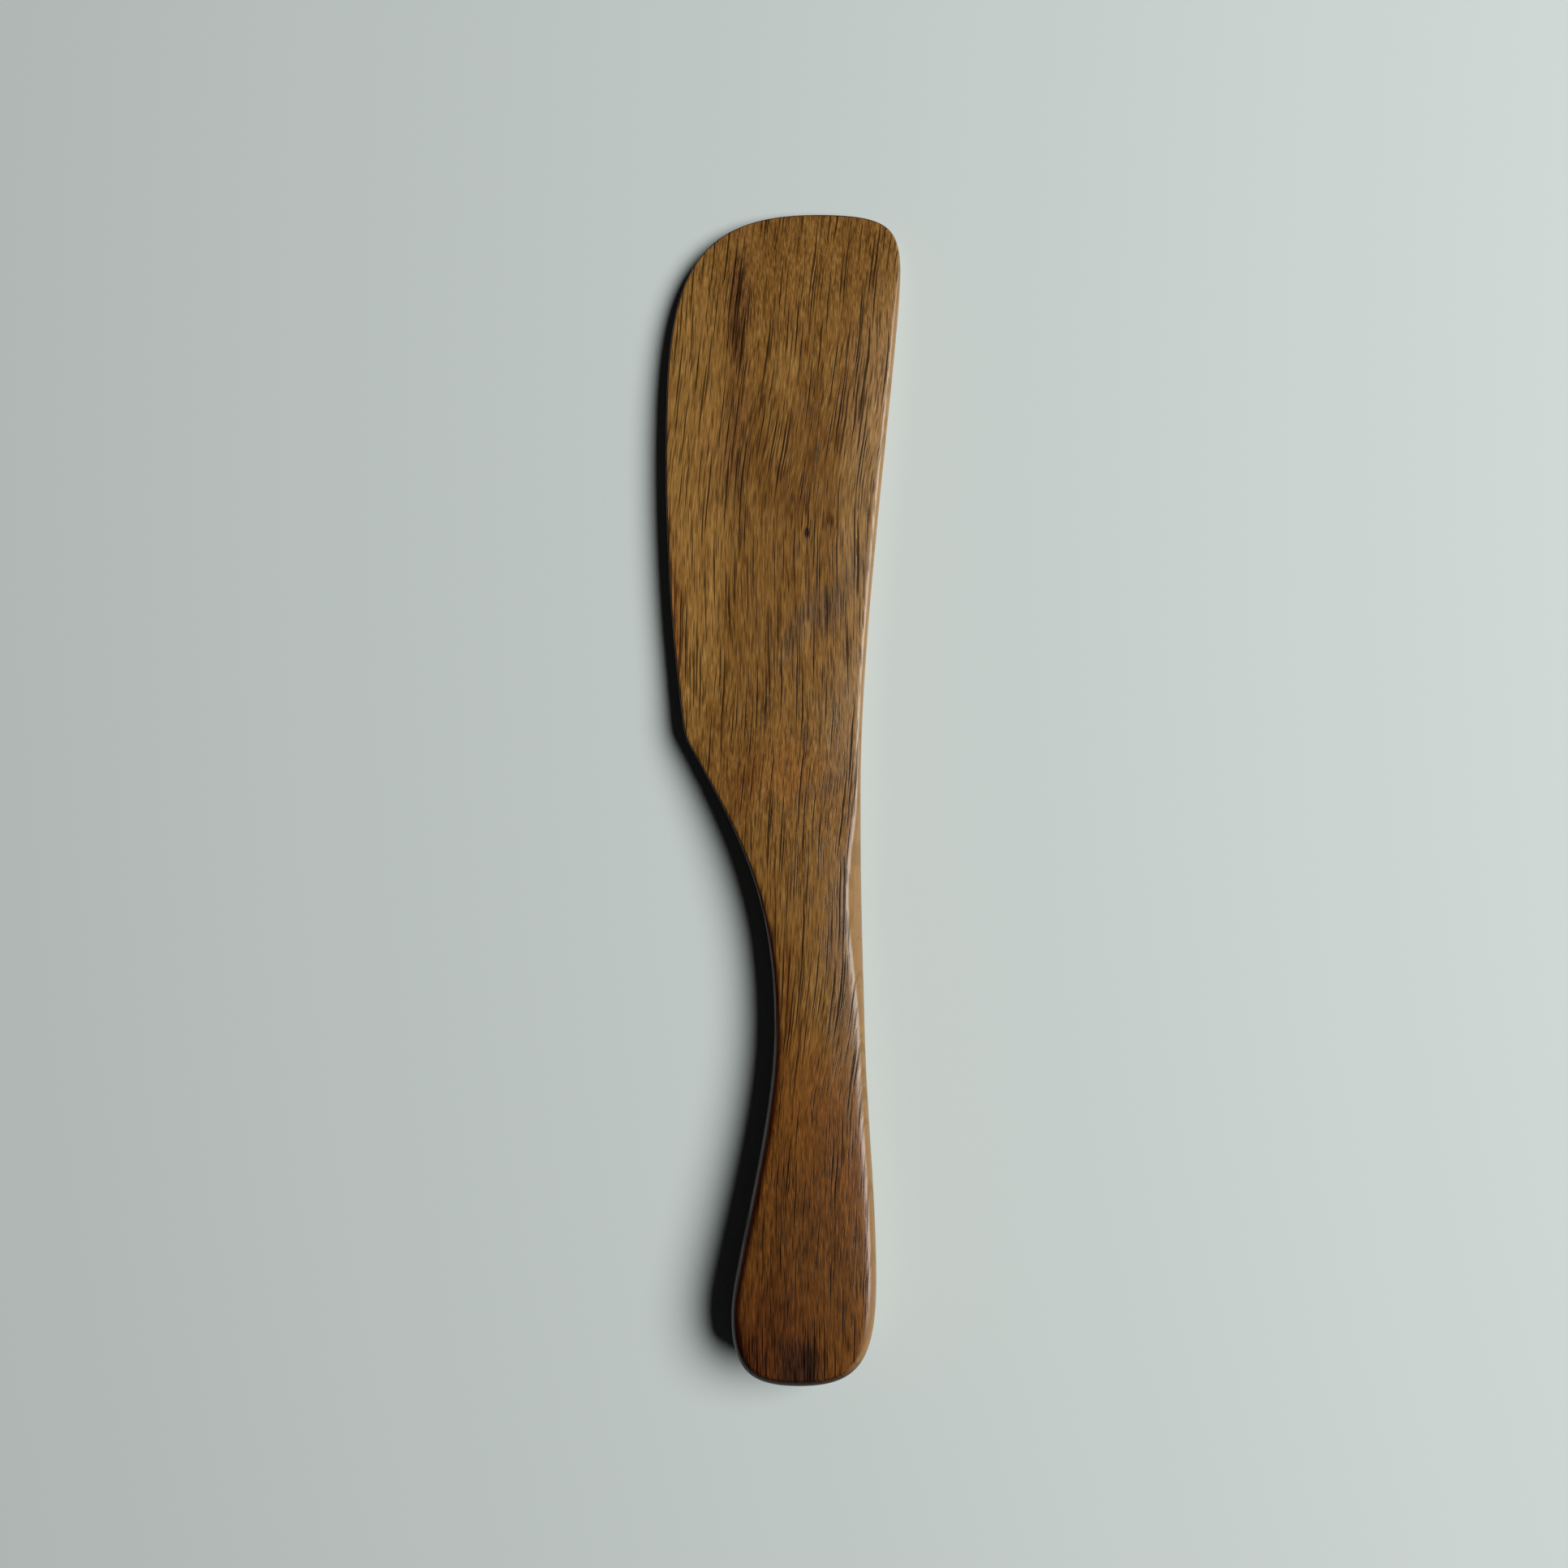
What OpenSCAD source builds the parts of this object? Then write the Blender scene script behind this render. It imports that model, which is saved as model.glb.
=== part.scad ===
// Butter spreader carved from one piece of dark walnut.
// It lies on its flat back: +Y points to the blade's tip and +Z out of the carved face.
// The origin is under the middle of the bounding box, on the flat back.
// All sizes are in millimetres and all angles in degrees.

/* [Overall size] */
// Length from the tip edge to the end of the handle
overall_length = 180; // [165:1:205]
// Greatest width, across the blade
blade_width = 36.4; // [32:0.2:44]

/* [Blade outline] */
// Distance from the tip edge back to the heel corner
blade_length = 81.4; // [70:0.2:88]
// Distance from the tip edge back to the fullest point of the belly
belly_from_tip = 37.6; // [30:0.2:46]
// Distance from the tip edge back to where the spine is widest
tip_corner_length = 9; // [6:0.5:14]
// How far in from the spine side the tip edge is highest
tip_crest_inset = 13.2; // [9:0.2:17]
// How far in from the fullest point of the belly the heel corner lies
heel_inset = 3; // [1:0.2:5]
// Lean of the belly line where it meets the heel
belly_lean = 8; // [3:1:14]
// Lean of the shoulder line where it leaves the heel
shoulder_lean = 30; // [22:1:38]
// Radius of the heel corner
heel_radius = 7; // [2:0.5:9]

/* [Neck and handle outline] */
// Distance from the end of the handle to the narrowest part of the neck
neck_from_butt = 54; // [46:1:60]
// Width of the neck where it is narrowest
neck_width = 13.9; // [11:0.1:17]
// Distance from the tip edge back to the hollow in the spine
waist_from_tip = 89.5; // [84:0.5:95]
// How far in from the widest spine the hollow lies
waist_inset = 6.3; // [4:0.1:8]
// How far in from the widest spine the back of the neck lies
neck_back_inset = 5.7; // [4:0.1:8]
// Lean of the back of the neck
neck_back_lean = 1.2; // [0:0.1:3]
// Width of the handle where it is widest
handle_width = 22.2; // [19:0.1:26]
// How far in from the widest spine the back of the handle lies
handle_back_inset = 4; // [2:0.1:6]
// Distance from the end of the handle to its widest point on the belly side
handle_belly_from_butt = 11; // [9:0.5:16]
// Distance from the end of the handle to its widest point on the back
handle_back_from_butt = 16; // [12:0.5:22]
// How far in from the back of the handle its end reaches furthest
butt_crest_inset = 11.8; // [9:0.2:14]

/* [Fullness of the curves] */
// Fullness of the big corner at the tip, along the tip edge
belly_corner_across = 0.93; // [0.6:0.01:1]
// Fullness of the big corner at the tip, along the belly
belly_corner_along = 0.65; // [0.4:0.01:0.8]
// Fullness of the small corner at the tip
spine_corner_fullness = 0.82; // [0.55:0.01:0.9]
// Fullness of the curve from the heel into the neck
neck_fullness = 0.42; // [0.25:0.01:0.5]
// Fullness of the flare where it leaves the neck
flare_start_fullness = 0.34; // [0.2:0.01:0.6]
// Fullness of the flare where it reaches the handle
flare_end_fullness = 0.14; // [0.08:0.01:0.4]
// Fullness of the spine below the small corner at the tip
spine_top_fullness = 0.12; // [0.05:0.01:0.4]
// Fullness of the spine where it reaches the hollow
spine_waist_fullness = 0.32; // [0.2:0.01:0.5]
// Fullness of the corners at the end of the handle, on the belly side
butt_belly_fullness = 0.76; // [0.5:0.01:0.85]
// Fullness of the corners at the end of the handle, on the back
butt_back_fullness = 0.77; // [0.5:0.01:0.85]

/* [Thickness] */
// Thickness at the end of the handle
butt_thickness = 9.6; // [8:0.1:12]
// Thickness of the neck
neck_thickness = 7.2; // [6:0.1:9]
// Thickness of the blade along its spine
spine_thickness = 5.2; // [4.2:0.1:6.5]
// Thickness of the blade along its belly
belly_thickness = 4.2; // [3:0.1:5]
// Thickness at the tip edge
tip_thickness = 2.2; // [1.6:0.1:3]
// Distance from the tip edge back to where the blade has its full thickness
thinning_length = 42; // [25:1:55]
// Distance from the tip edge back to where the ramp up to the neck starts
ramp_from_tip = 68; // [60:1:74]
// Length of the ramp between the blade and the neck
ramp_length = 40; // [30:1:50]
// Distance from the end of the handle to where it starts to thicken
swell_from_butt = 72; // [56:1:80]
// Height of the crown across the carved face
crown_height = 0.3; // [0:0.05:0.6]
// Length over which the crown dies out at both ends
crown_fade = 16; // [10:1:24]

/* [Edges] */
// Rounding of the tip and belly edges of the blade, carved face
blade_edge = 0.4; // [0.2:0.1:0.7]
// Rounding of the blade's spine, carved face
spine_edge = 1.1; // [0.6:0.1:1.5]
// Rounding of the handle, carved face
handle_edge = 1.8; // [1:0.1:2.4]
// Rounding of the end of the handle, carved face
butt_edge = 1.5; // [0.8:0.1:2]
// Length over which the rounding of the end of the handle meets that of its sides
butt_edge_fade = 8; // [5:0.5:12]
// Distance from the end of the handle to where the fine belly edge starts to form
belly_edge_from_butt = 36; // [28:1:44]
// Width of the facet where the back of the neck runs into the spine
facet_width = 2.6; // [1.8:0.1:3]
// Distance from the tip edge back to the widest part of the facet
facet_from_tip = 107; // [103:0.5:112]
// Length of the facet from the spine to its widest part
facet_rise = 19; // [14:1:24]
// Length of the facet from its widest part to the handle
facet_fall = 20; // [14:1:26]
// Rounding of the blade, flat back
back_edge_blade = 0.4; // [0.2:0.1:0.6]
// Rounding of the handle, flat back
back_edge_handle = 1.4; // [0.8:0.1:2]

/* [Hidden] */
walnut = "#6b4a2a";

// Places along the length
tip_y = overall_length / 2;
butt_y = -overall_length / 2;
heel_y = tip_y - blade_length;
neck_y = butt_y + neck_from_butt;

// Places across the width
spine_x = blade_width / 2;
belly_x = -blade_width / 2;
heel_x = belly_x + heel_inset;
neck_back_x = spine_x - neck_back_inset;
handle_back_x = spine_x - handle_back_inset;

// Lean of a line that runs across to the belly side, and to the spine side
to_belly = -90;
to_spine = 90;
// Fullness of a curve that runs gently between two tangents
gentle = 1 / 3;
// Length of the belly line and of the shoulder line that the rounding of the heel takes up
heel_reach = heel_radius * tan((shoulder_lean - belly_lean) / 2);

// Unit vector of a line with this lean, running from the tip towards the butt
function heading(lean) = [sin(lean), -cos(lean)];
function heel_point(reach, lean) = [heel_x, heel_y] + reach * heading(lean);

// Corners of the outline, where its stretches meet
tip_crest = [spine_x - tip_crest_inset, tip_y];
butt_crest = [handle_back_x - butt_crest_inset, butt_y];
belly_full = [belly_x, tip_y - belly_from_tip];
heel_start = heel_point(-heel_reach, belly_lean);
heel_end = heel_point(heel_reach, shoulder_lean);
neck_belly = [neck_back_x - neck_width, neck_y];
neck_back = [neck_back_x, neck_y];
handle_belly = [handle_back_x - handle_width, butt_y + handle_belly_from_butt];
handle_back = [handle_back_x, butt_y + handle_back_from_butt];
spine_full = [spine_x, tip_y - tip_corner_length];
spine_waist = [spine_x - waist_inset, tip_y - waist_from_tip];

// Each stretch of outline: start, its lean, its fullness, end, its lean, its fullness, steps.
// Both sides run from the tip to the butt with as many steps, so that they pair up into rungs.
belly_side = [
    [tip_crest, to_belly, belly_corner_across, belly_full, 0, belly_corner_along, 22],
    [belly_full, 0, gentle, heel_start, belly_lean, gentle, 12],
    [heel_start, belly_lean, gentle, heel_end, shoulder_lean, gentle, 3],
    [heel_end, shoulder_lean, neck_fullness, neck_belly, 0, neck_fullness, 13],
    [neck_belly, 0, flare_start_fullness, handle_belly, 0, flare_end_fullness, 16],
    [handle_belly, 0, butt_belly_fullness, butt_crest, to_spine, butt_belly_fullness, 12]
];
spine_side = [
    [tip_crest, to_spine, spine_corner_fullness, spine_full, 0, spine_corner_fullness, 12],
    [spine_full, 0, spine_top_fullness, spine_waist, 0, spine_waist_fullness, 27],
    [spine_waist, 0, gentle, neck_back, neck_back_lean, gentle, 11],
    [neck_back, neck_back_lean, gentle, handle_back, 0, gentle, 14],
    [handle_back, 0, butt_back_fullness, butt_crest, to_belly, butt_back_fullness, 14]
];

// Point at share t of a cubic curve with end points a and d
function cubic(a, b, c, d, t) =
    pow(1 - t, 3) * a + 3 * pow(1 - t, 2) * t * b + 3 * (1 - t) * t * t * c + pow(t, 3) * d;
// Unit vector along a cubic curve, square to its outward normal
function along(a, b, c, d, t) =
    let (v = pow(1 - t, 2) * (b - a) + 2 * (1 - t) * t * (c - b) + t * t * (d - c)) v / norm(v);
// How far along a heading the end of a stretch lies from its start
function reach(s, lean) = abs((s[3] - s[0]) * heading(lean));
function start_handle(s) = s[0] + s[2] * reach(s, s[1]) * heading(s[1]);
function end_handle(s) = s[3] - s[5] * reach(s, s[4]) * heading(s[4]);
// Points and headings of a stretch, without its last point
function stretch_points(s) = let (b = start_handle(s), c = end_handle(s))
    [for (k = [0 : s[6] - 1]) cubic(s[0], b, c, s[3], k / s[6])];
function stretch_headings(s) = let (b = start_handle(s), c = end_handle(s))
    [for (k = [0 : s[6] - 1]) along(s[0], b, c, s[3], k / s[6])];

function side_points(side) = [for (s = side) each stretch_points(s)];
function side_headings(side) = [for (s = side) each stretch_headings(s)];

// The outline as one loop: down the belly side, round the butt, up the spine side
belly_points = side_points(belly_side);
spine_points = side_points(spine_side);
belly_headings = side_headings(belly_side);
spine_headings = side_headings(spine_side);
rungs = len(belly_points);
loop_points = concat(belly_points, [butt_crest],
    [for (k = [rungs - 1 : -1 : 1]) spine_points[k]]);
loop_inward = concat(
    [for (h = belly_headings) [-h[1], h[0]]],
    [[0, 1]],
    [for (k = [rungs - 1 : -1 : 1]) [spine_headings[k][1], -spine_headings[k][0]]]);
count = len(loop_points);
// Index in the loop of the two ends of a rung
function on_belly(k) = k;
function on_spine(k) = (count - k) % count;

// Smooth step from 0 at y0 to 1 at y1
function ease(y, y0, y1) = let (t = max(0, min(1, (y - y0) / (y1 - y0)))) t * t * (3 - 2 * t);
// Share of the way from the belly line to the spine line
function across(x) = max(0, min(1, (x - belly_x) / blade_width));
ramp_y = tip_y - ramp_from_tip;
function blade_share(y) = ease(y, ramp_y - ramp_length, ramp_y);
function blade_height(x, y) =
    let (full = belly_thickness + (spine_thickness - belly_thickness) * across(x),
         t = max(0, (y - tip_y + thinning_length) / thinning_length))
    full - (full - tip_thickness) * t * t;
function handle_height(y) =
    neck_thickness + (butt_thickness - neck_thickness) * ease(-y, -butt_y - swell_from_butt, -butt_y);
// Height of the carved face, without its crown
function face_height(x, y) =
    let (b = blade_share(y)) b * blade_height(x, y) + (1 - b) * handle_height(y);
function crown(u, y) = crown_height * 4 * u * (1 - u)
    * ease(y, butt_y, butt_y + crown_fade) * (1 - ease(y, tip_y - crown_fade, tip_y));

// Roundings along the length, on each side of the carved face
function handle_round(y) = butt_edge + (handle_edge - butt_edge) * ease(y, butt_y, butt_y + butt_edge_fade);
function belly_round(y) = let (b = ease(y, butt_y + belly_edge_from_butt, heel_y))
    b * blade_edge + (1 - b) * handle_round(y);
facet_y = tip_y - facet_from_tip;
function facet_share(y) = ease(y, facet_y - facet_fall, facet_y) * ease(-y, -facet_y - facet_rise, -facet_y);
function spine_round(y) =
    let (blade = blade_edge + (spine_edge - blade_edge) * ease(-y, -tip_y, -tip_y + 2 * tip_corner_length),
         b = ease(y, facet_y - facet_fall, facet_y + facet_rise),
         plain = b * blade + (1 - b) * handle_round(y),
         f = facet_share(y))
    plain + (facet_width - plain) * f;
// 1 gives a round edge, 2 gives a flat bevel
facet_flatness = 0.6;
butt_flatness = 0.5;
function edge_flatness(side, y) = 1
    + (side == "spine" ? facet_flatness * facet_share(y) : 0)
    + butt_flatness * (1 - ease(y, butt_y, butt_y + butt_edge_fade));
function side_of(k) = k <= rungs ? "belly" : "spine";
function face_edge(k) = let (y = loop_points[k][1])
    side_of(k) == "belly" ? belly_round(y) : spine_round(y);
function back_edge(k) = let (b = blade_share(loop_points[k][1]))
    b * back_edge_blade + (1 - b) * back_edge_handle;

// Steps in each rounding, and columns across the carved face
edge_steps = 4;
columns = 8;
function inset(k, d) = loop_points[k] + d * loop_inward[k];
function back_ring(s) = [for (k = [0 : count - 1])
    let (r = back_edge(k), a = 90 * s / edge_steps, p = inset(k, r * (1 - sin(a))))
    [p[0], p[1], r * (1 - cos(a))]];
function face_ring(s) = [for (k = [0 : count - 1])
    let (r = face_edge(k), a = 90 * s / edge_steps,
         e = edge_flatness(side_of(k), loop_points[k][1]),
         p = inset(k, r * (1 - pow(cos(a), e))))
    [p[0], p[1], face_height(p[0], p[1]) - r * (1 - pow(sin(a), e))]];
back_rings = [for (s = [0 : edge_steps]) back_ring(s)];
face_rings = [for (s = [0 : edge_steps]) face_ring(s)];
rings = concat(back_rings, face_rings);
top_ring = face_rings[edge_steps];
// Points of the carved face inside its last ring, row by row
face_points = [for (k = [1 : rungs - 1], c = [1 : columns - 1])
    let (a = top_ring[on_belly(k)], b = top_ring[on_spine(k)], u = c / columns,
         x = a[0] + u * (b[0] - a[0]), y = a[1] + u * (b[1] - a[1]))
    [x, y, face_height(x, y) + crown(u, y)]];

ring_count = len(rings);
face_start = ring_count * count;
last_ring = (ring_count - 1) * count;
// Index of the point in a column of a row of the carved face
function face_index(k, c) =
    c == 0 ? last_ring + on_belly(k) :
    c == columns ? last_ring + on_spine(k) :
    face_start + (k - 1) * (columns - 1) + c - 1;
// Two triangles that fill the corners a, b, c and d
function quad(a, b, c, d) = [[a, b, c], [a, c, d]];

wall_faces = [for (r = [0 : ring_count - 2], k = [0 : count - 1])
    let (n = (k + 1) % count, low = r * count, high = low + count)
    each quad(low + k, high + k, high + n, low + n)];
back_faces = concat(
    [[0, on_belly(1), on_spine(1)]],
    [for (k = [1 : rungs - 2])
        each quad(on_belly(k), on_belly(k + 1), on_spine(k + 1), on_spine(k))],
    [[on_belly(rungs - 1), rungs, on_spine(rungs - 1)]]);
face_faces = concat(
    [for (c = [0 : columns - 1]) [last_ring, face_index(1, c + 1), face_index(1, c)]],
    [for (k = [1 : rungs - 2], c = [0 : columns - 1])
        each quad(face_index(k, c), face_index(k, c + 1), face_index(k + 1, c + 1), face_index(k + 1, c))],
    [for (c = [0 : columns - 1]) [face_index(rungs - 1, c), face_index(rungs - 1, c + 1), last_ring + rungs]]);

module spreader() {
    color(walnut)
        polyhedron(
            points = concat([for (r = rings) each r], face_points),
            faces = concat(wall_faces, back_faces, face_faces),
            convexity = 6);
}

spreader();
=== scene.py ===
"""Looks of the wooden butter spreader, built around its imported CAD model.

The spreader is one carved piece of oiled walnut, so there is one piece to dress: its
surface is smoothed from the CAD solid and finished with a procedural walnut whose pores,
fibres, growth figure and pin knots are placed in millimetres on the real object. Sizes in
this file are millimetres unless a name or comment says otherwise, and become metres where
Blender takes them.
"""

import logging
import math
from dataclasses import dataclass
from enum import Enum

import bmesh
import bpy
from mathutils import Matrix, Vector, noise

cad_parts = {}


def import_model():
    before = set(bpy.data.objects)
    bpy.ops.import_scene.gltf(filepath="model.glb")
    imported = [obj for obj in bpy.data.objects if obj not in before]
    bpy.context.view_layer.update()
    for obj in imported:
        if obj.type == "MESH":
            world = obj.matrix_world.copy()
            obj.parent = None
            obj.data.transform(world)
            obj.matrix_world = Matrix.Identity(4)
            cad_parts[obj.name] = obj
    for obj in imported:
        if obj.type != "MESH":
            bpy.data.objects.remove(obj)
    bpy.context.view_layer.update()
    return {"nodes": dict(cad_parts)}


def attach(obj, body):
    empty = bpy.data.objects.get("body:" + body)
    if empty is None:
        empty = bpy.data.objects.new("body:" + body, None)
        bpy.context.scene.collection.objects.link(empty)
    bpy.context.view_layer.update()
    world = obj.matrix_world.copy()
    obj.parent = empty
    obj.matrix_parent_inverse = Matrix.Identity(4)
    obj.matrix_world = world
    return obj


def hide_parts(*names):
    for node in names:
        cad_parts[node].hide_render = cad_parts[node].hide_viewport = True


MM = 0.001
NODE_NAME = "spreader"
BODY_NAME = "root"
MARK_HEIGHT = 4.0
MARK_THICKNESS = 40.0

log = logging.getLogger("spreader")


def linear(code: str) -> tuple[float, float, float, float]:
    """Turns an sRGB hex colour into linear light.

    Args:
        code: Colour as a hash sign and six hex digits.

    Returns:
        Red, green and blue in linear light, and an alpha of 1.
    """
    shares = [int(code[start : start + 2], 16) / 255 for start in (1, 3, 5)]
    light = [s / 12.92 if s <= 0.04045 else ((s + 0.055) / 1.055) ** 2.4 for s in shares]
    return (*light, 1.0)


def add_node(
    tree: bpy.types.NodeTree,
    kind: str,
    settings: dict[str, object] | None = None,
    inputs: dict[str | int, object] | None = None,
) -> bpy.types.Node:
    """Adds a node, with its settings and what goes into it.

    Args:
        tree: Node tree that gets the node.
        kind: Blender's name of the node's type.
        settings: Properties of the node, by name.
        inputs: Values or output sockets for its input sockets, by name or place.

    Returns:
        The new node.
    """
    node = tree.nodes.new(kind)
    for name, value in (settings or {}).items():
        setattr(node, name, value)
    for name, value in (inputs or {}).items():
        if isinstance(value, bpy.types.NodeSocket):
            tree.links.new(value, node.inputs[name])
        else:
            node.inputs[name].default_value = value
    return node


class Hue(Enum):
    """Colours that walnut drifts to from one patch to the next."""

    GOLD = "#8f6631"
    ORANGE = "#82501f"
    RED = "#6d3415"
    # GREY is also the tint of the painted sheen along the spine side.
    GREY = "#6e5a44"
    PURPLE = "#4a2f22"


@dataclass(frozen=True)
class Mark:
    """A soft-edged patch of figure, a streak, a knot or a stain in the wood, or a patch of painted sheen.

    Attributes:
        name: What a woodworker would call it.
        place: Its middle across and along the spreader.
        reach: Half its width and half its length.
        lean: How far its lower end leans towards the belly side, in degrees.
        tone: Change of tone in its middle, where the whole scale is 1.
        pores: Change of the pores' size in its middle.
        hue: Colour that it drifts to.
        drift: Share of that colour in its middle.
        core: Share of its reach over which it is at its strongest.
    """

    name: str
    place: tuple[float, float]
    reach: tuple[float, float]
    lean: float = 0.0
    tone: float = 0.0
    pores: float = 0.0
    hue: Hue | None = None
    drift: float = 0.0
    core: float = 0.2


FIGURE = (
    Mark("golden belly side", (-14.5, 48), (8.5, 52), tone=0.13, hue=Hue.GOLD, drift=0.45, core=0.5),
    Mark("streak of open pores", (-6.6, 75), (2.6, 16), tone=-0.12, pores=0.09, hue=Hue.PURPLE, drift=0.25),
    Mark("tail of the streak", (-8.0, 53), (4.2, 13), 13, -0.06, 0.07, Hue.PURPLE, 0.15),
    Mark("ring round the tongue", (0.6, 54), (7.0, 14), tone=-0.10, core=0.6),
    Mark("pale tongue", (0.4, 58), (5.0, 14.5), tone=0.10, pores=-0.04, core=0.5),
    # Painted sheen: the two pale grey marks along the spine side stand in for the gloss that the light lays
    # on that side.
    Mark("spine side with painted sheen", (14.0, 44), (7.0, 46), 3, 0.13, 0.01, Hue.GREY, 0.25, 0.35),
    Mark("lower spine side with painted sheen", (9.5, 10), (7, 17), tone=0.10, hue=Hue.GREY, drift=0.3),
    Mark("pale lower middle", (2.0, 21), (8, 13), tone=0.05),
    Mark("dark heart by the spine", (12.8, 64), (6.5, 16), 12, 0.02, 0.06, Hue.PURPLE, 0.10, 0.3),
    Mark("eye", (9.6, 64.0), (2.6, 1.6), tone=-0.04, core=0.5),
    Mark("large pin knot", (3.6, 40.0), (0.55, 1.2), tone=-0.6, hue=Hue.PURPLE, drift=0.5, core=0.2),
    Mark("tail of the large pin knot", (3.7, 43.0), (0.4, 4.0), 2, -0.22, 0.05, core=0.2),
    Mark("small pin knot", (7.2, 42.0), (0.8, 1.6), tone=-0.26, hue=Hue.RED, drift=0.4, core=0.1),
    Mark("slanting band", (5.6, 27.5), (3.4, 13), 44, -0.10, 0.01, Hue.GREY, 0.35, 0.2),
    Mark("band at the spine", (12.0, 34.0), (4.0, 3.6), 40, -0.07, 0.0, Hue.GREY, 0.3),
    Mark("second slanting band", (6.7, 2.6), (2.2, 7), 55, -0.08, 0.0, Hue.GREY, 0.2),
    # Painted weaker sheen: orange tint on the ramp from blade to neck, where it catches less gloss.
    Mark("ramp with painted weaker sheen", (0.8, 3.6), (8.0, 7.0), tone=0.06, hue=Hue.ORANGE, drift=0.5),
    Mark("streaks at the shoulder", (-6.0, 1.5), (3.0, 9), 14, -0.05, 0.05, Hue.RED, 0.2),
    Mark("red belly edge", (-17.0, 14), (2.4, 32), tone=-0.06, hue=Hue.RED, drift=0.4),
    Mark("red belly side of the neck", (-2.4, -32), (2.2, 18), tone=-0.08, hue=Hue.RED, drift=0.55),
    # Its grey drift is painted sheen on the spine side of the neck; its slight darkening and opener pores
    # are figure.
    Mark("back of the neck with painted grey sheen", (8.6, -22), (3.6, 22), tone=-0.03, pores=0.02, hue=Hue.GREY, drift=0.20),
    Mark("red streak in the neck", (1.0, -31), (1.0, 15), 2, -0.07, 0.04, Hue.RED, 0.4),
    Mark("warm handle", (2.0, -72), (18, 44), tone=-0.04, pores=-0.02, hue=Hue.ORANGE, drift=0.95, core=0.5),
    Mark("dark handle", (1.0, -78), (17, 38), tone=-0.13, pores=-0.04, core=0.35),
    Mark("dark lower handle", (-2.0, -85), (12, 17), tone=-0.08, pores=0.03, hue=Hue.RED, drift=0.45),
    Mark("red corner of the end", (-7.6, -86), (6.0, 9.0), tone=-0.14, pores=0.03, hue=Hue.RED, drift=0.55),
    Mark("dark patch at the end", (2.4, -87.5), (4.6, 7.0), 6, -0.16, 0.09, Hue.PURPLE, 0.5, 0.3),
)


@dataclass(frozen=True)
class PoreKind:
    """One size class of walnut's open pores, which show as dashes where they are cut lengthwise.

    Attributes:
        cell: Space that one pore has to itself, across and along the grain.
        radius: Mean radius of a pore, as a share of its cell.
        spread: How far single pores stray from that radius.
        depth: Share of the full pore depth and darkness.
    """

    cell: tuple[float, float]
    radius: float
    spread: float
    depth: float


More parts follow.
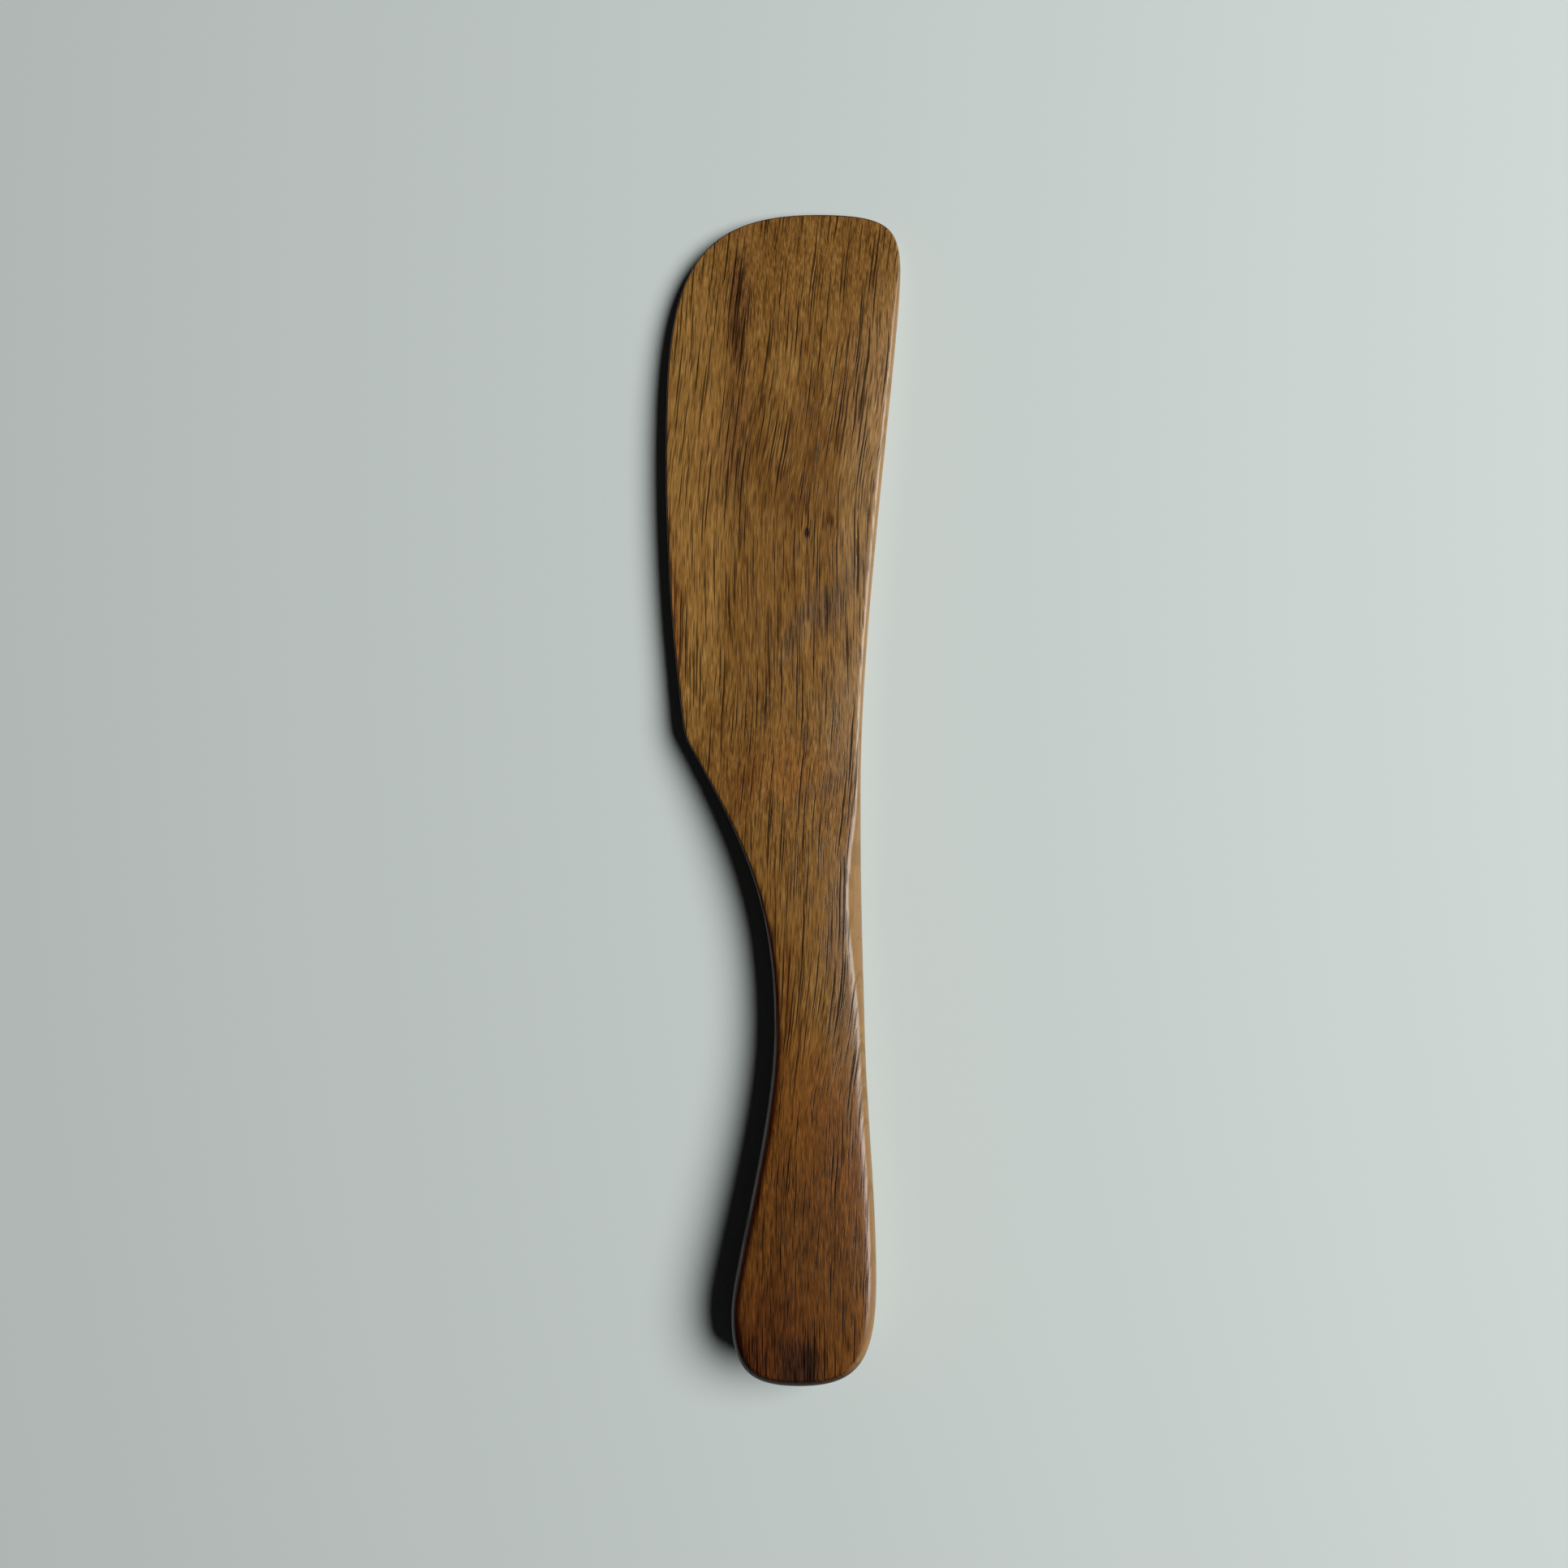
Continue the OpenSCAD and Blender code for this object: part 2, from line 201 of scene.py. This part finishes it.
@dataclass(frozen=True)
class OiledWalnut:
    """American walnut, sanded and oiled: satin brown heartwood with open dark pores.

    The oil deepens the brown and leaves a soft sheen that is broken by the pores. Cut
    lengthwise the pores are dashes 0.1 to 0.3 mm wide and 2 to 12 mm long, and on end
    grain they are dots.

    Attributes:
        tones: Colours of the wood from its darkest to its palest.
        pore_kinds: Size classes of its pores.
        pore_bundles: How the pores bunch together: size across and along the grain, and how far.
        pore_edge: Softness of a pore's edges, as a share of its cell.
        pore_dark: Share of light that a pore swallows.
        pore_depth: Depth of the widest pores.
        fibre: Size of the fine fibres across and along the grain.
        painted_highlight: Paler colour painted on the rounded spine side, which faces the light: a painted
            highlight.
        shaded: Tint of painted shade on the rounded belly side, which faces away from the light.
        oil_soaked: Tint of the end grain, which drinks more oil.
        roughness: Roughness of the oiled surface between the pores.
        burnish: How much smoother the spine side under the painted highlight is.
        ior: Index of refraction of the oil film.
        bends: Where the grain leans: the lower and upper end of the stretch, and how far it
            moves to the belly side there.
        wanders: How the grain wanders: size across and along it, and how far.
        plain_tone: Tone of plain wood.
        growth: Layers of the yearly growth: size across and along the grain, how many finer
            layers are added to it, and how much it changes the tone.
        fibre_share: How much the fibres change the tone.
        edge_wander: Size of the waves in the marks' edges, across and along the spreader.
        edge_reach: How far those waves reach, across and along the spreader.
        gloss: Gloss of the oiled wood.
        gloss_lost: How much of it pores and end grain lose.
    """

    tones: tuple[str, ...] = ("#150a04", "#371e0a", "#5a3915", "#7b5525", "#99733d", "#bb955c")
    pore_kinds: tuple[PoreKind, ...] = (
        PoreKind((0.50, 22.0), 0.25, 0.26, 1.0),
        PoreKind((0.40, 5.5), 0.27, 0.30, 0.65),
    )
    pore_bundles: tuple[float, float, float] = (2.2, 30.0, 0.22)
    pore_edge: float = 0.16
    pore_dark: float = 0.80
    pore_depth: float = 0.012
    fibre: tuple[float, float] = (0.16, 2.8)
    # Painted highlight: paler colour laid on the rounded spine side, which faces the light.
    painted_highlight: str = "#967750"
    # Painted shade: darker tint laid on the rounded belly side, which faces away from the light.
    shaded: str = "#8c6255"
    oil_soaked: str = "#96604a"
    roughness: float = 0.26
    burnish: float = 0.04
    ior: float = 1.45
    bends: tuple[tuple[float, float, float], ...] = ((38.0, 72.0, 2.8), (-50.0, -26.0, 2.0))
    wanders: tuple[tuple[float, float, float], ...] = ((9.0, 26.0, 1.6), (1.2, 7.0, 0.24))
    plain_tone: float = 0.575
    growth: tuple[tuple[tuple[float, float], float, float], ...] = (
        ((3.4, 60.0), 2.0, 0.20),
        ((0.8, 18.0), 3.0, 0.26),
        ((3.0, 4.0), 2.0, 0.12),
    )
    fibre_share: float = 0.85
    edge_wander: tuple[float, float] = (4.5, 11.0)
    edge_reach: tuple[float, float] = (3.2, 9.0)
    gloss: float = 0.5
    gloss_lost: float = 0.4

    def material(self) -> bpy.types.Material:
        """Builds the finish.

        Returns:
            The oiled walnut material.
        """
        finish = bpy.data.materials.new("oiled_walnut")
        finish.use_nodes = True
        tree = finish.node_tree
        tree.nodes.clear()
        place = self._place(tree)
        grain = self._grain(tree, place)
        tone, openness, drifts = self._figure(tree, place)
        pores = self._pores(tree, grain, openness)
        fibre = self._layer(tree, grain, self.fibre, 2.0)
        tone = self._growth(tree, grain, tone, fibre)
        colour = self._colour(tree, tone, drifts, pores)
        sides = self._sides(tree)
        colour = self._paint_light_and_end_grain(tree, colour, sides)
        self._surface(tree, colour, pores, fibre, sides)
        return finish

    def _place(self, tree: bpy.types.NodeTree) -> bpy.types.NodeSocket:
        """Returns the place on the object in millimetres."""
        coordinates = add_node(tree, "ShaderNodeTexCoord")
        scaled = add_node(
            tree,
            "ShaderNodeVectorMath",
            {"operation": "SCALE"},
            {0: coordinates.outputs["Object"], "Scale": 1 / MM},
        )
        return scaled.outputs[0]

    def _grain(self, tree: bpy.types.NodeTree, place: bpy.types.NodeSocket) -> bpy.types.NodeSocket:
        """Bends the place so that the grain runs along its second axis.

        The grain leans towards the belly side by some 7 degrees on the middle of the
        blade and again where the neck runs into the handle, and wanders a little all
        along its length.

        Args:
            tree: Node tree of the material.
            place: Place on the object in millimetres.

        Returns:
            The place along and across the grain, in millimetres.
        """
        axes = add_node(tree, "ShaderNodeSeparateXYZ", None, {0: place})
        shift = 0.0
        for low, high, step in self.bends:
            ramp = add_node(
                tree,
                "ShaderNodeMapRange",
                {"interpolation_type": "SMOOTHSTEP"},
                {0: axes.outputs["Y"], 1: low, 2: high, 3: 0.0, 4: -step},
            )
            shift = add_node(
                tree, "ShaderNodeMath", {"operation": "ADD"}, {0: shift, 1: ramp.outputs[0]}
            ).outputs[0]
        for across, along, reach in self.wanders:
            wander = self._layer(tree, place, (across, along), 1.0)
            shift = add_node(
                tree,
                "ShaderNodeMath",
                {"operation": "MULTIPLY_ADD"},
                {0: wander, 1: reach, 2: shift},
            ).outputs[0]
        offset = add_node(tree, "ShaderNodeCombineXYZ", None, {"X": shift})
        moved = add_node(
            tree, "ShaderNodeVectorMath", {"operation": "ADD"}, {0: place, 1: offset.outputs[0]}
        )
        return moved.outputs[0]

    def _layer(
        self,
        tree: bpy.types.NodeTree,
        place: bpy.types.NodeSocket,
        size: tuple[float, float],
        detail: float,
    ) -> bpy.types.NodeSocket:
        """Adds a soft random layer drawn out along the grain.

        Args:
            tree: Node tree of the material.
            place: Place in millimetres.
            size: Size of its streaks across and along the grain.
            detail: How many finer layers are added to it.

        Returns:
            A value about 0, mostly between -0.3 and 0.3.
        """
        stretched = self._stretch(tree, place, size)
        cloud = add_node(
            tree,
            "ShaderNodeTexNoise",
            None,
            {"Vector": stretched, "Scale": 1.0, "Detail": detail, "Roughness": 0.55},
        )
        centred = add_node(
            tree, "ShaderNodeMath", {"operation": "SUBTRACT"}, {0: cloud.outputs[0], 1: 0.5}
        )
        return centred.outputs[0]

    def _figure(
        self, tree: bpy.types.NodeTree, place: bpy.types.NodeSocket
    ) -> tuple[bpy.types.NodeSocket, bpy.types.NodeSocket, list[tuple[bpy.types.NodeSocket, Mark]]]:
        """Lays the marks of the figure, each a soft ellipse with wandering edges.

        Args:
            tree: Node tree of the material.
            place: Place on the object in millimetres.

        Returns:
            The tone and the pores' size that the marks add up to, and the masks of the
            marks that drift to another colour.
        """
        warp = add_node(
            tree,
            "ShaderNodeTexNoise",
            None,
            {"Vector": self._stretch(tree, place, self.edge_wander), "Scale": 1.0, "Detail": 2.0},
        )
        centred = add_node(
            tree,
            "ShaderNodeVectorMath",
            {"operation": "SUBTRACT"},
            {0: warp.outputs["Color"], 1: (0.5, 0.5, 0.5)},
        )
        wandering = add_node(
            tree,
            "ShaderNodeVectorMath",
            {"operation": "MULTIPLY_ADD"},
            {0: centred.outputs[0], 1: (*self.edge_reach, 0.0), 2: place},
        )
        tone, openness, drifts = 0.0, 0.0, []
        for mark in FIGURE:
            fitted = add_node(
                tree,
                "ShaderNodeMapping",
                {"vector_type": "TEXTURE"},
                {
                    "Vector": wandering.outputs[0] if max(mark.reach) > 2 else place,
                    "Location": (*mark.place, MARK_HEIGHT),
                    "Rotation": (0.0, 0.0, -math.radians(mark.lean)),
                    "Scale": (*mark.reach, MARK_THICKNESS),
                },
            )
            distance = add_node(
                tree, "ShaderNodeVectorMath", {"operation": "LENGTH"}, {0: fitted.outputs[0]}
            )
            mask = add_node(
                tree,
                "ShaderNodeMapRange",
                {"interpolation_type": "SMOOTHSTEP"},
                {0: distance.outputs["Value"], 1: 1.0, 2: mark.core, 3: 0.0, 4: 1.0},
            ).outputs[0]
            if mark.tone:
                tone = add_node(
                    tree,
                    "ShaderNodeMath",
                    {"operation": "MULTIPLY_ADD"},
                    {0: mask, 1: mark.tone, 2: tone},
                ).outputs[0]
            if mark.pores:
                openness = add_node(
                    tree,
                    "ShaderNodeMath",
                    {"operation": "MULTIPLY_ADD"},
                    {0: mask, 1: mark.pores, 2: openness},
                ).outputs[0]
            if mark.hue:
                drifts.append((mask, mark))
        return tone, openness, drifts

    def _stretch(
        self, tree: bpy.types.NodeTree, place: bpy.types.NodeSocket, size: tuple[float, float]
    ) -> bpy.types.NodeSocket:
        """Returns the place in units of that size across and along the grain."""
        across, along = size
        return add_node(
            tree,
            "ShaderNodeVectorMath",
            {"operation": "MULTIPLY"},
            {0: place, 1: (1 / across, 1 / along, 1 / across)},
        ).outputs[0]

    def _pores(
        self,
        tree: bpy.types.NodeTree,
        grain: bpy.types.NodeSocket,
        openness: bpy.types.NodeSocket,
    ) -> bpy.types.NodeSocket:
        """Scatters the pores, which are long thin cells round random points.

        Height counts as width here, so that the pores run along the sides as well.

        Args:
            tree: Node tree of the material.
            grain: Place along and across the grain.
            openness: Change of the pores' size from place to place.

        Returns:
            How deep the surface lies in a pore, from 0 to 1.
        """
        across, along, reach = self.pore_bundles
        bundled = add_node(
            tree,
            "ShaderNodeMath",
            {"operation": "MULTIPLY_ADD"},
            {0: self._layer(tree, grain, (across, along), 1.0), 1: reach, 2: openness},
        ).outputs[0]
        axes = add_node(tree, "ShaderNodeSeparateXYZ", None, {0: grain})
        sideways = add_node(
            tree, "ShaderNodeMath", {"operation": "ADD"}, {0: axes.outputs["X"], 1: axes.outputs["Z"]}
        )
        flat = add_node(
            tree,
            "ShaderNodeCombineXYZ",
            None,
            {"X": sideways.outputs[0], "Y": axes.outputs["Y"]},
        )
        total = None
        for kind in self.pore_kinds:
            cells = add_node(
                tree,
                "ShaderNodeTexVoronoi",
                {"voronoi_dimensions": "2D", "feature": "F1", "distance": "EUCLIDEAN"},
                {"Vector": self._stretch(tree, flat.outputs[0], kind.cell), "Scale": 1.0},
            )
            chance = add_node(tree, "ShaderNodeSeparateColor", None, {0: cells.outputs["Color"]})
            radius = add_node(
                tree,
                "ShaderNodeMath",
                {"operation": "MULTIPLY_ADD"},
                {0: chance.outputs[0], 1: kind.spread, 2: kind.radius - kind.spread / 2},
            )
            opened = add_node(
                tree, "ShaderNodeMath", {"operation": "ADD"}, {0: radius.outputs[0], 1: bundled}
            )
            inside = add_node(
                tree,
                "ShaderNodeMath",
                {"operation": "SUBTRACT"},
                {0: opened.outputs[0], 1: cells.outputs["Distance"]},
            )
            mask = add_node(
                tree,
                "ShaderNodeMapRange",
                {"interpolation_type": "SMOOTHSTEP"},
                {0: inside.outputs[0], 1: 0.0, 2: self.pore_edge, 3: 0.0, 4: kind.depth},
            ).outputs[0]
            total = mask if total is None else add_node(
                tree, "ShaderNodeMath", {"operation": "MAXIMUM"}, {0: total, 1: mask}
            ).outputs[0]
        return total

    def _growth(
        self,
        tree: bpy.types.NodeTree,
        grain: bpy.types.NodeSocket,
        tone: bpy.types.NodeSocket,
        fibre: bpy.types.NodeSocket,
    ) -> bpy.types.NodeSocket:
        """Adds the bands of the yearly growth, their streaks and the fibres to the tone.

        Args:
            tree: Node tree of the material.
            grain: Place along and across the grain.
            tone: Tone that the marks add up to.
            fibre: The fine fibres.

        Returns:
            The tone, about 0.5 on plain wood.
        """
        total = add_node(
            tree, "ShaderNodeMath", {"operation": "ADD"}, {0: tone, 1: self.plain_tone}
        ).outputs[0]
        layers = (
            *((self._layer(tree, grain, size, detail), share) for size, detail, share in self.growth),
            (fibre, self.fibre_share),
        )
        for layer, share in layers:
            total = add_node(
                tree, "ShaderNodeMath", {"operation": "MULTIPLY_ADD"}, {0: layer, 1: share, 2: total}
            ).outputs[0]
        return total

    def _colour(
        self,
        tree: bpy.types.NodeTree,
        tone: bpy.types.NodeSocket,
        drifts: list[tuple[bpy.types.NodeSocket, Mark]],
        pores: bpy.types.NodeSocket,
    ) -> bpy.types.NodeSocket:
        """Turns tone into colour, drifts it from patch to patch and darkens the pores.

        Args:
            tree: Node tree of the material.
            tone: Tone of the wood.
            drifts: Masks of the marks with a colour of their own.
            pores: How deep the surface lies in a pore.

        Returns:
            The colour of the wood cut lengthwise.
        """
        ramp = add_node(tree, "ShaderNodeValToRGB", None, {"Fac": tone})
        stops = ramp.color_ramp.elements
        last = len(self.tones) - 1
        for count, code in enumerate(self.tones):
            stop = stops[count] if count < 1 else stops.new(count / last) if count < last else stops[last]
            stop.color = linear(code)
        colour = ramp.outputs["Color"]
        for mask, mark in drifts:
            share = add_node(
                tree, "ShaderNodeMath", {"operation": "MULTIPLY"}, {0: mask, 1: mark.drift}
            )
            colour = add_node(
                tree,
                "ShaderNodeMix",
                {"data_type": "RGBA", "blend_type": "COLOR"},
                {"Factor": share.outputs[0], "A": colour, "B": linear(mark.hue.value)},
            ).outputs[2]
        light = add_node(
            tree,
            "ShaderNodeMath",
            {"operation": "MULTIPLY_ADD"},
            {0: pores, 1: -self.pore_dark, 2: 1.0},
        )
        dark = add_node(
            tree,
            "ShaderNodeVectorMath",
            {"operation": "SCALE"},
            {0: colour, "Scale": light.outputs[0]},
        )
        return dark.outputs[0]

    def _sides(self, tree: bpy.types.NodeTree) -> dict[str, bpy.types.NodeSocket]:
        """Finds the rounded spine side, which faces the light, the rounded belly side, which faces away from
        it, and the end grain.

        Args:
            tree: Node tree of the material.

        Returns:
            How far the surface belongs to each of them, from 0 to 1, by name.
        """
        coordinates = add_node(tree, "ShaderNodeTexCoord")
        facing = add_node(tree, "ShaderNodeSeparateXYZ", None, {0: coordinates.outputs["Normal"]})
        ends = add_node(tree, "ShaderNodeMath", {"operation": "ABSOLUTE"}, {0: facing.outputs["Y"]})
        # The spine-side and belly-side masks carry a painted highlight and painted shade; the end-grain mask
        # is the wood's own darker end grain.
        turns = {
            "painted_highlight": (facing.outputs["X"], 0.15, 0.55, 0.65),
            "shaded": (facing.outputs["X"], -0.08, -0.5, 1.0),
            "oil_soaked": (ends.outputs[0], 0.2, 0.7, 1.0),
        }
        return {
            name: add_node(
                tree,
                "ShaderNodeMapRange",
                {"interpolation_type": "SMOOTHSTEP"},
                {0: turn, 1: start, 2: full, 3: 0.0, 4: most},
            ).outputs[0]
            for name, (turn, start, full, most) in turns.items()
        }

    def _paint_light_and_end_grain(
        self,
        tree: bpy.types.NodeTree,
        colour: bpy.types.NodeSocket,
        sides: dict[str, bpy.types.NodeSocket],
    ) -> bpy.types.NodeSocket:
        """Paints a highlight on the spine side and shade on the belly side, and darkens the end grain.

        Args:
            tree: Node tree of the material.
            colour: Colour of the wood cut lengthwise.
            sides: How far the surface belongs to each side.

        Returns:
            The colour of the wood with painted highlight and painted shade, and darker end grain.
        """
        # Painted highlight on the spine side, painted shade on the belly side, and the wood's own darker end
        # grain.
        steps = (("painted_highlight", "MIX"), ("shaded", "MULTIPLY"), ("oil_soaked", "MULTIPLY"))
        for name, blend in steps:
            colour = add_node(
                tree,
                "ShaderNodeMix",
                {"data_type": "RGBA", "blend_type": blend},
                {"Factor": sides[name], "A": colour, "B": linear(getattr(self, name))},
            ).outputs[2]
        return colour

    def _surface(
        self,
        tree: bpy.types.NodeTree,
        colour: bpy.types.NodeSocket,
        pores: bpy.types.NodeSocket,
        fibre: bpy.types.NodeSocket,
        sides: dict[str, bpy.types.NodeSocket],
    ) -> None:
        """Gives the wood its oiled sheen, its sunken pores and its raised fibres.

        Args:
            tree: Node tree of the material.
            colour: Colour of the wood.
            pores: How deep the surface lies in a pore.
            fibre: The fine fibres.
            sides: How far the surface belongs to each side.
        """
        roughness = add_node(
            tree,
            "ShaderNodeMath",
            {"operation": "MULTIPLY_ADD"},
            {0: sides["painted_highlight"], 1: -self.burnish, 2: self.roughness},
        )
        # Pores and end grain are open channels, so they send back little of the light as gloss.
        open_wood = add_node(
            tree, "ShaderNodeMath", {"operation": "MAXIMUM"}, {0: pores, 1: sides["oil_soaked"]}
        )
        gloss = add_node(
            tree,
            "ShaderNodeMath",
            {"operation": "MULTIPLY_ADD"},
            {0: open_wood.outputs[0], 1: -self.gloss_lost, 2: self.gloss},
        )
        height = add_node(
            tree, "ShaderNodeMath", {"operation": "MULTIPLY"}, {0: fibre, 1: 0.5}
        )
        sunk = add_node(
            tree,
            "ShaderNodeMath",
            {"operation": "SUBTRACT"},
            {0: height.outputs[0], 1: pores},
        )
        bump = add_node(
            tree,
            "ShaderNodeBump",
            None,
            {"Height": sunk.outputs[0], "Distance": self.pore_depth * MM, "Strength": 1.0},
        )
        skin = add_node(
            tree,
            "ShaderNodeBsdfPrincipled",
            None,
            {
                "Base Color": colour,
                "Roughness": roughness.outputs[0],
                "IOR": self.ior,
                "Specular IOR Level": gloss.outputs[0],
                "Normal": bump.outputs[0],
            },
        )
        add_node(tree, "ShaderNodeOutputMaterial", None, {"Surface": skin.outputs[0]})


@dataclass(frozen=True)
class MattFloor:
    """Plain pale matt board, which takes a soft shadow and gives no gloss.

    Attributes:
        colour: Its pale cool grey.
        roughness: Roughness of its surface.
    """

    colour: str = "#c1c9c6"
    roughness: float = 0.9

    def material(self) -> bpy.types.Material:
        """Returns the floor's material."""
        finish = bpy.data.materials.new("matt_board")
        finish.use_nodes = True
        tree = finish.node_tree
        tree.nodes.clear()
        skin = add_node(
            tree,
            "ShaderNodeBsdfPrincipled",
            None,
            {
                "Base Color": linear(self.colour),
                "Roughness": self.roughness,
                "Specular IOR Level": 0.1,
            },
        )
        add_node(tree, "ShaderNodeOutputMaterial", None, {"Surface": skin.outputs[0]})
        return finish


@dataclass
class CarvedSpreader:
    """The spreader itself: blade, neck and handle carved from one piece of walnut.

    Attributes:
        name: Name of the finished piece.
        support: Width of the narrow row that holds the back's rim when the surface is smoothed.
        smoothing: Levels of subdivision.
        sanding: Greatest depth of the faint hollows that sanding by hand leaves.
        hollow: Length of one such hollow.
    """

    name: str = "walnut_spreader"
    support: float = 0.5
    smoothing: int = 2
    sanding: float = 0.06
    hollow: float = 17.0

    def shape(self, solid: bpy.types.Object) -> bpy.types.Mesh:
        """Makes the piece's mesh from a copy of the CAD solid's.

        Args:
            solid: The CAD node's object.

        Returns:
            A closed mesh of mostly four-sided faces.
        """
        shell = bmesh.new()
        shell.from_mesh(solid.data)
        bmesh.ops.remove_doubles(shell, verts=shell.verts, dist=0.002 * MM)
        bmesh.ops.join_triangles(
            shell,
            faces=shell.faces,
            angle_face_threshold=math.radians(40),
            angle_shape_threshold=math.radians(120),
        )
        self._support_edges(shell)
        self._sand(shell)
        mesh = bpy.data.meshes.new(self.name)
        shell.to_mesh(mesh)
        shell.free()
        mesh.shade_smooth()
        return mesh

    def _support_edges(self, shell: bmesh.types.BMesh) -> None:
        """Adds a narrow row inside the rim of the flat back.

        Args:
            shell: The shell that is being shaped.
        """
        shell.normal_update()
        back = [face for face in shell.faces if face.normal.z < -0.9999]
        bmesh.ops.inset_region(shell, faces=back, thickness=self.support * MM, use_even_offset=True)

    def _sand(self, shell: bmesh.types.BMesh) -> None:
        """Lets the carved face dip by a few hundredths of a millimetre, as sanding leaves it.

        Args:
            shell: The shell that is being shaped.
        """
        shell.normal_update()
        for vertex in shell.verts:
            if vertex.normal.z > 0.9:
                dip = noise.noise(vertex.co / (self.hollow * MM)) - 1
                vertex.co.z += dip / 2 * self.sanding * MM

    def build(self, solid: bpy.types.Object, finish: bpy.types.Material) -> bpy.types.Object:
        """Builds the finished piece.

        Args:
            solid: The CAD node's object.
            finish: Its material.

        Returns:
            The piece, riding on its body in place of the CAD node.
        """
        piece = bpy.data.objects.new(self.name, self.shape(solid))
        bpy.context.scene.collection.objects.link(piece)
        piece.data.materials.append(finish)
        smooth = piece.modifiers.new("smoothing", "SUBSURF")
        smooth.levels = self.smoothing
        smooth.render_levels = self.smoothing
        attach(piece, BODY_NAME)
        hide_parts(NODE_NAME)
        return piece


@dataclass
class Studio:
    """Plain pale floor, one large soft light from the spine side and a dim room.

    Attributes:
        floor_side: Side of the floor, in metres.
        floor_drop: How far the floor lies below the flat back.
        light_tilt: Angle of the light off the vertical, in degrees.
        light_distance: Distance of the light, in metres.
        light_size: Size of the light: up and down, and along the spreader, in metres.
        light_power: Power of the light, in watts.
        light_shift: How far the light lies towards the blade's tip, in metres.
        room: Strength of the light from the room.
        backdrop: Colour of what lies beyond the floor.
    """

    floor_side: float = 6.0
    floor_drop: float = 0.02
    light_tilt: float = 40.0
    light_distance: float = 1.1
    light_size: tuple[float, float] = (0.74, 1.1)
    light_power: float = 18.0
    light_shift: float = 0.06
    room: float = 0.02
    backdrop: str = "#c6cdca"

    def lay_floor(self, finish: bpy.types.Material) -> bpy.types.Object:
        """Lays the floor.

        Args:
            finish: Its material.

        Returns:
            The floor.
        """
        sheet = bmesh.new()
        bmesh.ops.create_grid(sheet, x_segments=1, y_segments=1, size=self.floor_side / 2)
        bmesh.ops.translate(sheet, verts=sheet.verts, vec=(0, 0, -self.floor_drop * MM))
        mesh = bpy.data.meshes.new("floor")
        sheet.to_mesh(mesh)
        sheet.free()
        floor = bpy.data.objects.new("floor", mesh)
        bpy.context.scene.collection.objects.link(floor)
        mesh.materials.append(finish)
        return floor

    def hang_light(self) -> bpy.types.Object:
        """Returns the large soft light, hung on the spine side and turned to the spreader."""
        lamp = bpy.data.lights.new("window", "AREA")
        lamp.shape = "ELLIPSE"
        lamp.size, lamp.size_y = self.light_size
        lamp.energy = self.light_power
        light = bpy.data.objects.new("window", lamp)
        tilt = math.radians(self.light_tilt)
        reach = Vector((math.sin(tilt), 0, math.cos(tilt))) * self.light_distance
        light.matrix_world = Matrix.Translation(reach + Vector((0, self.light_shift, 0))) @ Matrix.Rotation(
            tilt, 4, "Y"
        )
        bpy.context.scene.collection.objects.link(light)
        return light

    def light_room(self) -> bpy.types.World:
        """Returns the room: dim as a light, and pale where the camera sees past the floor."""
        world = bpy.data.worlds.new("room")
        world.use_nodes = True
        tree = world.node_tree
        tree.nodes.clear()
        path = add_node(tree, "ShaderNodeLightPath")
        strength = add_node(
            tree,
            "ShaderNodeMapRange",
            None,
            {0: path.outputs["Is Camera Ray"], 1: 0.0, 2: 1.0, 3: self.room, 4: 1.0},
        )
        glow = add_node(
            tree,
            "ShaderNodeBackground",
            None,
            {"Color": linear(self.backdrop), "Strength": strength.outputs[0]},
        )
        add_node(tree, "ShaderNodeOutputWorld", None, {"Surface": glow.outputs[0]})
        bpy.context.scene.world = world
        return world


@dataclass
class PhotoCamera:
    """Camera straight above the spreader, at the photograph's distance and angle of view.

    Attributes:
        place: Where it stands, in millimetres in the spreader's frame.
        lens: Focal length in millimetres, for a frame 36 mm wide.
        frame_side: Width of the frame.
        nearest: Distance of the nearest thing that it sees.
    """

    place: tuple[float, float, float] = (0.09, 1.40, 246.0)
    lens: float = 36.01
    frame_side: float = 36.0
    nearest: float = 5.0

    def set_up(self) -> bpy.types.Object:
        """Returns the camera, set as the scene's own."""
        optics = bpy.data.cameras.new("camera")
        optics.sensor_fit = "HORIZONTAL"
        optics.sensor_width = self.frame_side
        optics.lens = self.lens
        optics.clip_start = self.nearest * MM
        camera = bpy.data.objects.new("camera", optics)
        camera.location = Vector(self.place) * MM
        bpy.context.scene.collection.objects.link(camera)
        bpy.context.scene.camera = camera
        return camera


def main() -> None:
    """Builds the spreader, its stage and its camera, in that order."""
    logging.basicConfig(level=logging.INFO, format="%(name)s: %(message)s")
    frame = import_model()
    piece = CarvedSpreader().build(frame["nodes"][NODE_NAME], OiledWalnut().material())
    log.info("%s: %d faces before smoothing", piece.name, len(piece.data.polygons))
    studio = Studio()
    floor = studio.lay_floor(MattFloor().material())
    log.info("%s laid", floor.name)
    light = studio.hang_light()
    log.info("%s lit", light.name)
    world = studio.light_room()
    log.info("%s lit", world.name)
    camera = PhotoCamera().set_up()
    log.info("%s set up", camera.name)
    bpy.context.scene.view_settings.view_transform = "Standard"


if __name__ == "__main__":
    main()
